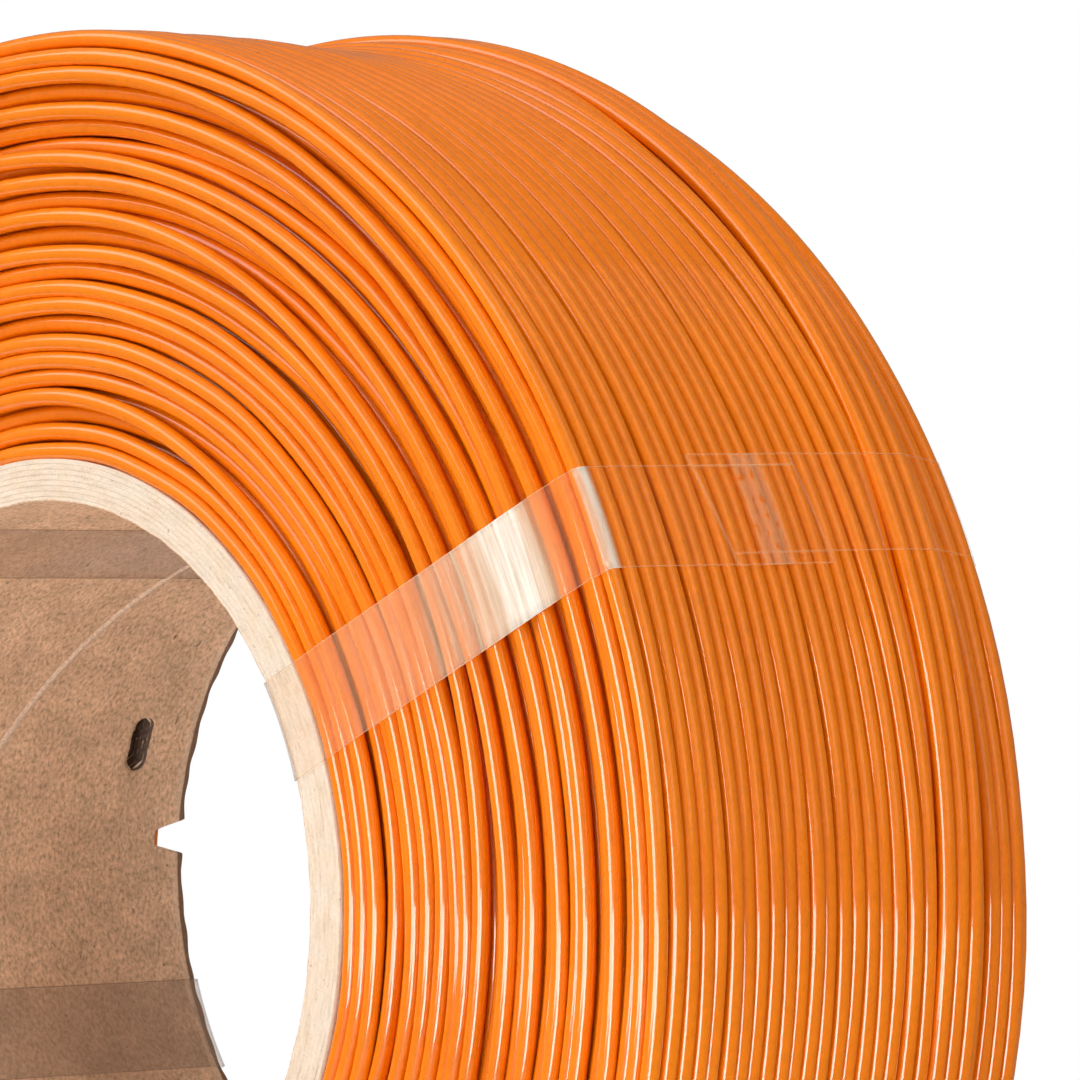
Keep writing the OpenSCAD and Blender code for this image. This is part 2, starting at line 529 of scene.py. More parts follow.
# %% Milky film and painted reflections on the faces
def tape_frost_and_sheen(tree, across, along, haze):
    """How milky the film is from the tube to the rim, with painted reflections in a patch and at the
    fold, only where it lies on a face.
    """
    on_face = spread(tree, maths(tree, "ABSOLUTE", along), FACE_FROM, FACE_TO, 0, 1)
    radius_share = spread(tree, across, 0.042, 0.086, 0, 1)
    frost_and_sheen = ramp(tree, radius_share, [(place, (shade,) * 3) for place, shade in FROST_AND_SHEEN])
    streaks = spread(tree, haze, 0.3, 0.7, 0.45, 1.15)
    return maths(tree, "MULTIPLY", maths(tree, "MULTIPLY", frost_and_sheen, streaks), on_face)


# %% Edges, ends and glue
def pale_line(tree, value, place, half_width, strength):
    """A thin line where a value comes close to a place."""
    off = maths(tree, "ABSOLUTE", maths(tree, "SUBTRACT", value, place))
    return spread(tree, off, half_width, 0, 0, strength)


def tape_lines(tree, across_tape, along_tape):
    """Pale lines at both edges, at the edges of the end that lies underneath, and at both ends."""
    near_edge = pale_line(tree, across_tape, 0, EDGE_WIDE, 0.3)
    lines = maths(tree, "MAXIMUM", near_edge, pale_line(tree, across_tape, 1, EDGE_WIDE, 0.3))
    near_inner = pale_line(tree, across_tape, INNER_EDGES[0], EDGE_WIDE, 0.2)
    far_inner = pale_line(tree, across_tape, INNER_EDGES[1], EDGE_WIDE, 0.3)
    doubled = spread(tree, along_tape, 1.0, 1.001, 1, 0)
    inner = maths(tree, "MULTIPLY", maths(tree, "MAXIMUM", near_inner, far_inner), doubled)
    lines = maths(tree, "MAXIMUM", lines, inner)
    for place in TAPE_ENDS:
        lines = maths(tree, "MAXIMUM", lines, pale_line(tree, along_tape, place, END_WIDE, 0.25))
    return lines


def tape_glue(tree, polar, along_tape):
    """The patch of glue in the double part, with small bubbles in it."""
    patch = pale_line(tree, along_tape, GLUE_MIDDLE, GLUE_REACH, 6.0)
    bubbles = noise(tree, polar, 1.7, 3)
    glue = maths(tree, "MULTIPLY", patch, spread(tree, bubbles, 0.40, 0.48, 0, 1))
    return maths(tree, "MINIMUM", glue, 0.16)


# %% Clear tape
def make_tape():
    finish, tree, shader = new_finish("clear_tape")
    polar, across, along = around_the_axis(tree)
    haze = noise(tree, stretched(tree, polar, 1.6, 0.12, 0.6), 0.9, 4, 0.6)
    grain = noise(tree, polar, 2.2, 3)
    frost_and_sheen = tape_frost_and_sheen(tree, across, along, haze)
    strip = tree.nodes.new("ShaderNodeUVMap")
    strip.uv_map = "along_tape"
    split = tree.nodes.new("ShaderNodeSeparateXYZ")
    link(tree, strip.outputs[0], split.inputs[0])
    across_tape, along_tape, _ = split.outputs
    shade = spread(tree, across, BORE_FROM, BORE_TO, 0, 0.17)
    clear = spread(tree, grain, 0.3, 0.7, 0.004, 0.016)
    clear = maths(tree, "ADD", clear, maths(tree, "ADD", shade, tape_glue(tree, polar, along_tape)))
    lines = tape_lines(tree, across_tape, along_tape)
    share = maths(tree, "ADD", maths(tree, "ADD", frost_and_sheen, clear), lines)
    limit = tree.nodes.new("ShaderNodeClamp")
    link(tree, share, limit.inputs[0])
    link(tree, limit.outputs[0], shader.inputs["Alpha"])
    # The palest shade goes with the painted reflections.
    milk_and_sheen_shades = [(0.10, (1.0, 0.62, 0.33)), (0.45, (1.0, 0.76, 0.52)), (0.85, (0.98, 0.87, 0.74))]
    in_bore = spread(tree, across, BORE_FROM, BORE_TO, 0, 1)
    milk_and_sheen = blend_colours(tree, in_bore, ramp(tree, frost_and_sheen, milk_and_sheen_shades), (0.56, 0.40, 0.28))
    link(tree, milk_and_sheen, shader.inputs["Base Color"])
    link(tree, spread(tree, grain, 0.3, 0.7, 0.14, 0.3), shader.inputs["Roughness"])
    shader.inputs["IOR"].default_value = 1.5
    shader.inputs["Specular IOR Level"].default_value = 0.8
    bumps(tree, shader, haze, 0.0001, 0.4)
    return finish


tape = make_tape()
print("finish", tape.name)


# %% Pale matt floor
def make_floor():
    finish, tree, shader = new_finish("pale_floor")
    cloud = noise(tree, object_place(tree), 3, 3)
    colour = ramp(tree, cloud, [(0.3, (0.8, 0.8, 0.8)), (0.7, (0.86, 0.86, 0.86))])
    link(tree, colour, shader.inputs["Base Color"])
    link(tree, spread(tree, cloud, 0.3, 0.7, 0.6, 0.75), shader.inputs["Roughness"])
    return finish


floor.data.materials.append(make_floor())
print("finish", floor.data.materials[0].name)


# %% [markdown]
# ## The strand
#
# The winding is one strand. It runs around the tube turn by turn, and at each face it climbs one
# layer and goes back. So each layer can be drawn as one curve in three numbers: how far around it
# has gone, how far from the axis it is, and where it is along the axis. A tube of mesh is then
# drawn around that curve. This shows everything that makes a real coil look wound: the turns lie
# beside each other at a very small slant, and where the strand climbs, a wedge-shaped gap opens.

# %% Where the strand turns back
TURN = 2 * math.pi
# Directions in degrees, counted up from the right, in which the strand climbs at each face
FIRST_ANGLE = 160
FRONT_TURNS = [200, 70, 328, 143, 255, 20, 64, 52, 98, 47, 63, 214]
REAR_TURNS = [35, 310, 110, 190, 260, 75, 340, 150, 225, 20, 300, 66]
first_row = winding_end - strand_r


def next_angle(start, degrees, turns):
    """The angle nearest to start plus that many turns, in the direction given in degrees."""
    wanted = start + turns * TURN
    offset = (math.radians(degrees) - wanted) % TURN
    if offset > math.pi:
        offset -= TURN
    return wanted + offset


turn_back = [math.radians(FIRST_ANGLE)]
for layer in range(1, layers + 1):
    faces = FRONT_TURNS if layer % 2 else REAR_TURNS
    degrees = faces[(layer - 1) // 2]
    width = 2 * first_row
    if layer == layers:
        width = first_row + last_layer_end - strand_r
    turn_back.append(next_angle(turn_back[-1], degrees, width / strand_pitch))
turns_made = (turn_back[-1] - turn_back[0]) / TURN
print("turns", round(turns_made), "strand", round(turns_made * TURN * (tube_r + full_r) / 2), "m")


# %% [markdown]
# A strand that a machine guides still wanders a little. Shifting each point by chance would make it
# look hairy, so a few slow waves with chance phases are added up instead. The chance numbers start
# from a fixed seed, so the coil comes out the same each time.

# %% Small irregularities of the winding
chance = np.random.default_rng(7)


def wander(size, cycles):
    """A smooth curve that wanders to both sides of nought, as a hand-guided strand does."""
    phases = chance.uniform(0, TURN, len(cycles))
    sizes = chance.uniform(0.6, 1.0, len(cycles)) * size / math.sqrt(len(cycles))

    def curve(angle):
        return sum(s * np.sin(c * angle + p) for s, c, p in zip(sizes, cycles, phases))

    return curve


def smooth_step(share):
    share = np.clip(share, 0, 1)
    return share * share * (3 - 2 * share)


# %% [markdown]
# Now the path itself. In each layer the strand moves across at an even rate, with two exceptions:
# at a face it lies against the side for most of a turn before it moves off, and in the last layer
# the turns touch in groups with small gaps between the groups. The outer layers also give way. They
# sink in near the edges of the rim and in the middle near the top of the coil, and they are pushed
# up beside the last turns.

# %% Places of the strand in one layer
top_turns = round((top_high.y - top_low.y) / strand_pitch)
top_radius = top_high.x - strand_r
last_row = last_layer_end - strand_r
TOP_TAIL = math.radians(150)
DRIFT = 2.9 * MM
PUSHED_UP, PUSHED_WIDE = 0.85 * MM, 8.0 * MM
CLIMB = [math.radians(a) for a in (52, 44, 58, 48, 40, 56)]
GAP_TURNS = [2.4, 4.9, 8.2, 9.1, 12.6, 15.2, 17.7, 18.6, 20.8, 22.3, 23.6]
GAP_SIZES = [0.16, 0.30, 0.10, 0.22, 0.34, 0.12, 0.10, 0.30, 0.34, 0.20, 0.26]
FACE_HOLD, RIM_HOLD = 3.5, 1.5
FRONT_SINK, REAR_SINK, REAR_LIFT, TOP_SINK = 0.30 * MM, 0.12 * MM, 0.25 * MM, 0.75 * MM
print("turns on top:", top_turns, "turns in front of them are pushed up by", PUSHED_UP)


# %% Hold at the faces and give in the outer layers
def held_back(turns, hold):
    """A turn stays at the face for most of its way round before it starts to move off."""
    return np.where(turns < 1, np.abs(turns) ** hold, turns)


def sink(radius, angle, place):
    """How far the outer layers sink in near the edges of the rim and in the middle near the top."""
    depth = np.clip((radius - tube_r) / (full_r - tube_r), 0, 1) ** 4
    front = FRONT_SINK * np.exp(-(((place + first_row) / (2.0 * MM)) ** 2))
    rear = REAR_SINK * np.exp(-(((place - first_row + 1.8 * MM) / (1.5 * MM)) ** 2))
    edge = -REAR_LIFT * smooth_step((place - first_row + 1.1 * MM) / (0.9 * MM))
    from_top = (angle - math.radians(92) + math.pi) % TURN - math.pi
    top = np.exp(-((from_top / math.radians(24)) ** 2))
    middle = np.exp(-(((place - 4 * MM) / (9 * MM)) ** 2))
    return depth * (front + rear + edge + TOP_SINK * top * middle)


# %% Place of the last turns and what they push up
def drift(angle):
    """The last turns lie further to the rear near the top of the coil than low on its right side."""
    return DRIFT * np.clip(1.3 * np.sin(angle - math.radians(45)), -1, 1)


def pushed_up(angle, place):
    """The turns in front of the last ones on top are pushed up a little, more the closer they lie."""
    passed = (angle - turn_back[-1]) % TURN
    whole = top_turns - smooth_step((passed - TOP_TAIL) / math.radians(20) + 0.5)
    front = top_high.y - strand_r - strand_pitch * (passed / TURN + whole) + drift(angle)
    before = front - place
    near = 1 - smooth_step((before - strand_pitch) / PUSHED_WIDE)
    return PUSHED_UP * near * smooth_step((before - 0.5 * strand_pitch) / (0.4 * strand_pitch))


def tight_groups(behind, moved, travel):
    """The last layer's turns touch each other in groups, with small gaps between the groups."""
    spare = sum(GAP_SIZES) * MM
    gaps = sum(
        size * MM * smooth_step((behind - turn) / 0.12 + 0.5)
        for turn, size in zip(GAP_TURNS, GAP_SIZES)
    )
    return moved * (travel - spare) / travel + gaps


# %% Path of one layer
def layer_path(layer, angle):
    """Distance from the axis and place along it, for each angle that a layer passes."""
    start, end = turn_back[layer - 1], turn_back[layer]
    behind = (angle - start) / TURN
    ahead = (end - angle) / TURN
    travel = 2 * first_row
    if layer == layers:
        travel = first_row + last_layer_end - strand_r
    pitch = travel / (behind + ahead)
    hold = RIM_HOLD if layer == layers else FACE_HOLD
    from_start = pitch * held_back(behind, hold)
    from_end = travel - pitch * held_back(ahead, hold)
    moved = np.where(behind < ahead, from_start, from_end)
    if layer == layers:
        moved = tight_groups(behind, moved, travel)
    place = first_row - moved if layer % 2 else moved - first_row
    climb_in = CLIMB[(layer - 1) % len(CLIMB)]
    climb_out = CLIMB[layer % len(CLIMB)]
    radius = np.full_like(angle, tube_r + (layer - 0.5) * rise)
    radius -= rise * (1 - smooth_step((angle - start) / climb_in + 0.5))
    if layer < layers:
        radius += rise * smooth_step((angle - end) / climb_out + 0.5)
    radius -= sink(radius, angle, place)
    if layer == layers:
        radius += pushed_up(angle, place)
    return radius, place


# %% [markdown]
# A bevelled curve could carry the round strand, but its rings of corners may twist. Here each ring
# is set up from two directions, outward from the axis and sideways to it, so the corners of
# neighbouring rings stay in line. Twelve sides with smooth shading look round at this size.

# %% Draw a tube around a path
STRAND_SIDES = 12


def strand_mesh(name, angle, radius, place):
    sides = STRAND_SIDES
    centre = np.stack([radius * np.cos(angle), place, radius * np.sin(angle)], 1)
    along = np.gradient(centre, axis=0)
    along /= np.linalg.norm(along, axis=1)[:, None]
    outward = np.stack([np.cos(angle), np.zeros_like(angle), np.sin(angle)], 1)
    outward -= along * np.sum(outward * along, axis=1)[:, None]
    outward /= np.linalg.norm(outward, axis=1)[:, None]
    sideways = np.cross(along, outward)
    corner = np.arange(sides) * TURN / sides
    ring = np.cos(corner)[None, :, None] * outward[:, None, :]
    ring = ring + np.sin(corner)[None, :, None] * sideways[:, None, :]
    points = (centre[:, None, :] + strand_r * ring).reshape(-1, 3)
    row = np.arange(len(angle) - 1)[:, None] * sides
    side = np.arange(sides)[None, :]
    after = (side + 1) % sides
    quads = np.stack([row + side, row + after, row + sides + after, row + sides + side], 2)
    quads = quads.reshape(-1, 4)
    first_cap = list(range(sides))[::-1]
    last_cap = [(len(angle) - 1) * sides + s for s in range(sides)]
    piece = new_piece(name, points.tolist(), quads.tolist() + [first_cap, last_cap], [filament])
    piece.data.polygons.foreach_set("use_smooth", [True] * len(quads) + [False, False])
    piece.data.update()
    return piece


# %% [markdown]
# Most of a layer lies hidden under the next one, and there a coarse ring of steps will do. The end
# turns show on the faces and the last layer shows on the rim, so these get fine steps. One more
# ring close to each end keeps the shading of the round side away from the flat cut.

# %% Wind the layers
END_TURNS = 3.2
HAIR = math.radians(0.02)
FACE_STEPS, HIDDEN_STEPS, GLIMPSED_STEPS, TOP_STEPS = 132, 44, 110, 240


def steps_around(start, end, fine, coarse):
    """Angles along a layer: close together in the end turns, further apart where nothing shows."""
    edge = min(END_TURNS * TURN, (end - start) / 2)
    first = np.arange(start, start + edge, TURN / fine)
    last = np.arange(end - edge, end, TURN / fine)
    middle = np.arange(start + edge, end - edge, TURN / coarse)
    return np.unique(np.concatenate([first, middle, last, [start + HAIR, end - HAIR, end]]))


def quiet_ends(curve, angle):
    """Lets a curve fade to nought at both ends of a layer, where the next layer joins on."""
    return curve * np.clip(angle - angle[0], 0, 1) * np.clip(angle[-1] - angle, 0, 1)


wound = []
for layer, name in enumerate(layer_names, 1):
    fine, coarse = FACE_STEPS, HIDDEN_STEPS
    if layer == layers - 1:
        coarse = GLIMPSED_STEPS
    if layer == layers:
        fine, coarse = TOP_STEPS, TOP_STEPS
    angle = steps_around(turn_back[layer - 1], turn_back[layer], fine, coarse)
    radius, place = layer_path(layer, angle)
    sway = wander(0.05 * MM, [0.37, 1.21, 2.33])
    lift = wander(0.07 * MM, [0.53, 1.39, 2.71, 4.3])
    ripple = wander(0.10 * MM, [6.1, 11.3, 19.7])
    place = place + quiet_ends(sway(angle), angle)
    radius = radius + quiet_ends(lift(angle) + ripple(angle), angle)
    piece = strand_mesh("strand_" + name.removeprefix("winding_"), angle, radius, place)
    wound.append((angle, radius, place))
    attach(piece, "root")
    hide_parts(name)
print("layers wound:", layers, "faces in the last:", len(piece.data.polygons))

# %% [markdown]
# The last three turns lie on top of the full layers, near the rear. The strand climbs up at the
# rear edge close to the top of the coil, moves over, and goes on around. The turns in front of them
# are pushed up a little, so the rim rises to them in a gentle slope.

# %% Wind the last turns on top
CROSS_FROM, CROSS_OVER, STEP_UP = math.radians(22), math.radians(58), math.radians(26)
top_start = turn_back[-1]
top_end = top_start + top_turns * TURN + TOP_TAIL
angle = np.unique(np.append(np.arange(top_start, top_end, TURN / TOP_STEPS), top_start + HAIR))
passed = angle - top_start
over = smooth_step((passed - CROSS_FROM) / CROSS_OVER)
up = smooth_step(passed / STEP_UP)
low_radius = full_r - strand_r - sink(full_r - strand_r, angle, last_row)
lift = wander(0.05 * MM, [0.7, 1.9, 3.1])
radius = low_radius + (top_radius - low_radius) * up + lift(angle) * over
settled = top_high.y - strand_r - strand_pitch * passed / TURN + drift(angle)
place = last_row + (settled - last_row) * over
piece = strand_mesh("strand_top_turns", angle, radius, place)
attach(piece, "root")
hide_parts("winding_top_turns")
wound.append((angle, radius, place))
print("top turns", top_turns, "radius", top_radius + strand_r)


# %% [markdown]
# ## The paper tube
#
# The tube is made of strips of paper, glued on top of each other. A boolean cut would leave clean
# edges, but cut paper is ragged. So each ply is drawn as a grid around the axis instead: its two
# ends follow a wavy line, the key notch is a dip in that line, and around the start slot the grid
# has a window that is filled with rings of faces down to a torn outline.

# %% Shape of the slot and the notch
SLOT_ANGLE, SLOT_LONG, SLOT_WIDE, SLOT_FROM_END = 160, 6.0 * MM, 2.6 * MM, 8.1 * MM
NOTCH_ANGLE, NOTCH_MOUTH, NOTCH_FLOOR, NOTCH_DEEP = 175.6, 3.6 * MM, 1.4 * MM, 4.4 * MM
slot_place = tube_end - SLOT_FROM_END


def notch_dip(angle_deg, radius):
    """How deep the notch is at an angle around the tube."""
    off = np.abs(np.radians(angle_deg - NOTCH_ANGLE)) * radius
    return NOTCH_DEEP * np.clip((NOTCH_MOUTH / 2 - off) / (NOTCH_MOUTH - NOTCH_FLOOR) * 2, 0, 1)


def slot_reach(turn):
    """Distance from the middle of the slot to its outline: two half circles joined by straight sides."""
    wide = SLOT_WIDE / 2
    straight = SLOT_LONG / 2 - wide
    c, s = np.abs(np.cos(turn)), np.abs(np.sin(turn))
    to_side = wide / np.maximum(s, 1e-6)
    to_cap = straight * c + np.sqrt(np.maximum(wide**2 - (straight * s) ** 2, 0))
    return np.where(to_side * c <= straight, to_side, to_cap)


# %% Ragged lines
paper_chance = np.random.default_rng(21)


def ragged(cycles, size):
    """A wavy line for an edge of paper: several waves around the tube, each shifted by chance."""
    phases = paper_chance.uniform(0, TURN, len(cycles))

    def line(turn):
        return size * sum(np.sin(c * turn + p) for c, p in zip(cycles, phases)) / len(cycles)

    return line


def add_points(points, new):
    """Adds corners to the list of a ply and gives back their numbers."""
    first = sum(len(p) for p in points)
    points.append(new.reshape(-1, 3))
    return first + np.arange(len(points[-1]))


# %% Places of a ply's corners along the axis
NOTCH_DEGREES = np.round(np.arange(172.0, 179.2, 0.2), 1)
STRAIGHT_PAST_SLOT = 4 * MM


def ply_places(rows, degrees, middle_r, torn):
    """Straight rows in the middle of the tube, which bend to the ragged lines of its two ends."""
    turn = np.radians(degrees)
    front_line = ragged([3, 11, 29, 57, 83], torn)(turn)
    rear_line = ragged([2, 9, 31, 61, 88], torn)(turn)
    notch_edge = ragged([71, 113, 171], torn)(turn)
    dip = notch_dip(degrees, middle_r)
    rear_y = tube_end + rear_line - np.where(dip > 0, dip + notch_edge, 0)
    front_y = -tube_end + front_line
    fixed = slot_place + STRAIGHT_PAST_SLOT
    y = np.repeat(rows[:, None], len(turn), 1)
    share = ((rows - fixed) / (tube_end - fixed))[:, None]
    y = np.where((rows > fixed)[:, None], fixed + share * (rear_y - fixed)[None, :], y)
    share = ((rows + fixed) / (-tube_end + fixed))[:, None]
    return np.where((rows < -fixed)[:, None], -fixed + share * (front_y + fixed)[None, :], y)


# %% Faces of a ply's inner and outer side
SKIN, CUT_END, SLOT_WALL = 0, 1, 2
WINDOW_DEGREES, WINDOW_LONG = 9, 3.2 * MM


def skin_faces(sides, window):
    """Faces of both sides of the paper, without the window around the slot."""
    low, high, left, right = window
    faces = []
    for outer, grid in enumerate(sides):
        for i in range(len(grid) - 1):
            for j in range(grid.shape[1]):
                if low <= i < high and left <= j < right:
                    continue
                n = (j + 1) % grid.shape[1]
                quad = [grid[i, j], grid[i, n], grid[i + 1, n], grid[i + 1, j]]
                faces.append((SKIN, quad if outer else quad[::-1]))
    return faces


# %% Faces around and in the slot
def slot_faces(points, sides, radii, window, degrees, rows, torn):
    """Rings of faces that fill the window down to the slot's torn outline, and the slot's wall."""
    low, high, left, right = window
    rim = [(low, j) for j in range(left, right)]
    rim += [(i, right) for i in range(low, high)]
    rim += [(high, j) for j in range(right, left, -1)]
    rim += [(i, left) for i in range(high, low, -1)]
    following = list(range(1, len(rim))) + [0]
    tear = ragged([3, 5, 9, 14], torn * 2.2)
    along = np.array([rows[i] - slot_place for i, j in rim])
    faces = []
    outlines = []
    for outer, (grid, radius) in enumerate(zip(sides, radii)):
        arc = np.array([(degrees[j] - SLOT_ANGLE) * math.pi / 180 * radius for i, j in rim])
        toward = np.arctan2(along, arc)
        reach = slot_reach(toward) + tear(toward)
        loops = [[grid[i, j] for i, j in rim]]
        for step in (0.45, 0.8, 1.0):
            near_arc = arc * (1 - step) + np.cos(toward) * reach * step
            near_along = along * (1 - step) + np.sin(toward) * reach * step
            spin = math.radians(SLOT_ANGLE) + near_arc / radius
            ring = [radius * np.cos(spin), slot_place + near_along, radius * np.sin(spin)]
            loops.append(add_points(points, np.stack(ring, 1)))
        for outside, inside in zip(loops, loops[1:]):
            for k, n in enumerate(following):
                quad = [outside[k], outside[n], inside[n], inside[k]]
                faces.append((SKIN, quad if outer else quad[::-1]))
        outlines.append(loops[-1])
    for k, n in enumerate(following):
        faces.append((SLOT_WALL, [outlines[0][n], outlines[0][k], outlines[1][k], outlines[1][n]]))
    return faces


# %% Faces of a ply's cut ends
def end_faces(points, sides):
    """Both cut ends. The inner quarter keeps the finish of the inside, as if it were rolled over."""
    faces = []
    for i, rear in ((0, False), (-1, True)):
        corners = np.concatenate(points)
        inner, outer = sides[0][i], sides[1][i]
        middle = add_points(points, corners[outer] * 0.25 + corners[inner] * 0.75)
        for a, b, kind in ((inner, middle, SKIN), (middle, outer, CUT_END)):
            for j in range(len(inner)):
                n = (j + 1) % len(inner)
                quad = [a[j], a[n], b[n], b[j]]
                faces.append((kind, quad[::-1] if rear else quad))
    return faces


# %% Put a ply together
FRAYED_FROM = 24 * MM


def ply_mesh(name, inner, outer, rows, torn, finishes, edge_shape=None):
    degrees = np.union1d(np.arange(0, 360, 1.0), NOTCH_DEGREES)
    turn = np.radians(degrees)
    rows = np.array(rows) * MM
    y = ply_places(rows, degrees, (inner + outer) / 2, torn)
    points = []
    sides = []
    for radius in (inner, outer):
        r = np.full_like(y, radius)
        if edge_shape is not None and radius == inner:
            uneven = 1 + 0.5 * np.sin(17 * turn + 1) * np.sin(41 * turn)
            r = r + edge_shape(rows)[:, None] * uneven[None, :]
            frayed = ragged([23, 47, 71, 101], 0.03 * MM)(turn)
            r = r + frayed[None, :] * (np.abs(rows) > FRAYED_FROM)[:, None]
        side = np.stack([r * np.cos(turn)[None, :], y, r * np.sin(turn)[None, :]], 2)
        sides.append(add_points(points, side).reshape(y.shape))
    left = int(np.searchsorted(degrees, SLOT_ANGLE - WINDOW_DEGREES))
    right = int(np.searchsorted(degrees, SLOT_ANGLE + WINDOW_DEGREES))
    low = int(np.searchsorted(rows, slot_place - WINDOW_LONG, "right")) - 1
    high = int(np.searchsorted(rows, slot_place + WINDOW_LONG))
    window = (low, high, left, right)
    faces = skin_faces(sides, window)
    faces += slot_faces(points, sides, (inner, outer), window, degrees, rows, torn)
    faces += end_faces(points, sides)
    kinds = [kind for kind, quad in faces]
    quads = [[int(v) for v in quad[::-1]] for kind, quad in faces]
    piece = new_piece(name, np.concatenate(points).tolist(), quads, finishes)
    piece.data.polygons.foreach_set("use_smooth", [kind == SKIN for kind in kinds])
    piece.data.polygons.foreach_set("material_index", kinds)
    piece.data.update()
    return piece


# %% [markdown]
# The liner is the innermost ply. Near its ends the paper has a small bead, and it curls back from
# the bore. Its rows of corners are close together there and further apart in the middle. The rows
# are in millimetres from the middle of the tube.

# %% Draw the liner
LINER_T, OUTER_PLY_T, TORN = 0.5 * MM, 0.5 * MM, 0.05 * MM
LINER_ROWS = [-25.1, -25.0, -24.8, -24.4, -23.8, -23]
LINER_ROWS += [round(-22 + 1.1 * step, 2) for step in range(41)]
LINER_ROWS += [22.6, 23.1, 23.5, 23.8, 24.1, 24.4, 24.7, 24.95, 25.1]


def rolled_edge(rows):
    """The liner has a small bead near its cut ends and curls back from the bore after it."""
    rear = np.clip((rows - 24.0 * MM) / (1.1 * MM), 0, 1) ** 1.4 * 0.36 * MM
    bead = -0.06 * MM * np.exp(-(((np.abs(rows) - 23.7 * MM) / (0.35 * MM)) ** 2))
    front = np.clip((-rows - 24.6 * MM) / (0.5 * MM), 0, 1) ** 2 * 0.12 * MM
    return rear + bead + front


ply_names = sorted(n for n in frame["nodes"] if n.startswith("core_board_")) + ["core_outer_ply"]
board_plies = len(ply_names) - 1
edges = [bore_r, bore_r + LINER_T]
board_step = (tube_r - OUTER_PLY_T - edges[1]) / board_plies
edges += [edges[1] + board_step * (n + 1) for n in range(board_plies)] + [tube_r]
liner_finishes = [kraft, board, painted_shade_slot_wall]
liner = ply_mesh("liner", edges[0], edges[1], LINER_ROWS, TORN, liner_finishes, rolled_edge)
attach(liner, "root")
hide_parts("core_liner")
print("liner faces", len(liner.data.polygons))

# %% Draw the board plies
BOARD_ROWS = [-25.1, -24.6, -22, -14, -6, 2, 8, 13.5, 17, 20.5, 21.2, 22.5, 24.0, 24.8, 25.1]
board_finishes = [board, board, painted_shade_slot_wall]
for number, name in enumerate(ply_names, 1):
    ply_name = name.replace("core_", "tube_")
    ply = ply_mesh(ply_name, edges[number], edges[number + 1], BOARD_ROWS, TORN, board_finishes)
    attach(ply, "root")
    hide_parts(name)
print("plies", len(ply_names) + 1)

# %% [markdown]
# The liner is a strip that was wound in a spiral, so its edge shows as a slanting seam: a thin
# raised line of glued paper. It could be a line in the finish, but it stands up enough to throw a
# shadow. So a narrow strip is laid along the spiral, highest near its middle and sunk into the
# liner at both edges.

# %% Draw the seam
SEAM_PLACE, SEAM_ANGLE, SEAM_SLOPE = -2.0 * MM, 160.2, -2830.0
SEAM_STEPS = 160
SEAM_ACROSS = [-0.75, -0.45, -0.25, -0.05, 0.2, 0.6]
SEAM_HEIGHT = [-0.02, 0.015, 0.13, 0.15, 0.06, -0.02]
SEAM_DEEP = 1.004


def seam_corners():
    """Corners of the seam's top, row by row along the spiral."""
    wobble = ragged([9, 23, 41], 0.06 * MM)
    corners = []
    for y in np.linspace(-tube_end + 0.3 * MM, tube_end - 1.2 * MM, SEAM_STEPS):
        spiral = math.radians(SEAM_ANGLE + SEAM_SLOPE * (y - SEAM_PLACE))
        for across, height in zip(SEAM_ACROSS, SEAM_HEIGHT):
            turn = spiral + (across * 0.88 * MM + wobble(y * 300)) / bore_r
            place = y + (across * 0.5) * MM
            radius = bore_r - height * MM
            corners.append((radius * math.cos(turn), place, radius * math.sin(turn)))
    return corners


def seam_quads(wide, count):
    """Faces of the top and of the underside, then of the long edges, then of the two ends."""
    quads = []
    for i in range(SEAM_STEPS - 1):
        for j in range(wide - 1):
            quad = [i * wide + j, i * wide + j + 1, (i + 1) * wide + j + 1, (i + 1) * wide + j]
            quads.append(quad)
            quads.append([v + count for v in quad[::-1]])
        for j in (0, wide - 1):
            quad = [i * wide + j, (i + 1) * wide + j, (i + 1) * wide + j + count, i * wide + j + count]
            quads.append(quad if j == 0 else quad[::-1])
    for i in (0, SEAM_STEPS - 1):
        for j in range(wide - 1):
            quad = [i * wide + j, i * wide + j + 1, i * wide + j + 1 + count, i * wide + j + count]
            quads.append(quad[::-1] if i == 0 else quad)
    return quads


seam_top = seam_corners()
seam_under = [(x * SEAM_DEEP, y, z * SEAM_DEEP) for x, y, z in seam_top]
seam_faces = seam_quads(len(SEAM_ACROSS), len(seam_top))
seam = new_piece("liner_seam", seam_top + seam_under, seam_faces, [seam_paper_painted_light])
seam.data.polygons.foreach_set("use_smooth", [True] * len(seam_faces))
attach(seam, "root")
print("seam faces", len(seam_faces))


# %% [markdown]
# ## Tape straps
#
# A strap that is pulled tight takes the shortest way around everything it holds. Seen in a cut
# through the axis, that way is the convex hull of all the round strands and the corners of the
# tube. So the strands that a strap crosses are looked up, the hull is drawn around them, and a
# closed strip of film follows it, dipping a little where nothing is under it.
#
# On the rim a real strap laps over its own start. Two films that lie on each other would be truer,
# but so many see-through faces in a row came out dark. So the strip is one ring, and it is twice as
# thick in the double part, with slanting ends.

# %% Find the shortest way around
STRAP_ANGLES = [26, 119, 206, 296]
TAPE_HALF = 5.0 * MM
TAPE_T = 0.08 * MM
TAPE_GAP, TAPE_END_GAP = 0.03 * MM, 0.08 * MM
HULL_STEPS = 24
ON_RIM = full_r - 3 * MM
OVERLAP_START, OVERLAP_END = 2.1 * MM, -10.1 * MM
START_SLANT, END_SLANT, SLANT_ROWS = 1.0 * MM, 2.0 * MM, 12
SKEW = 0.6 * MM
SKEW_SHARE = SKEW / (2 * TAPE_HALF)


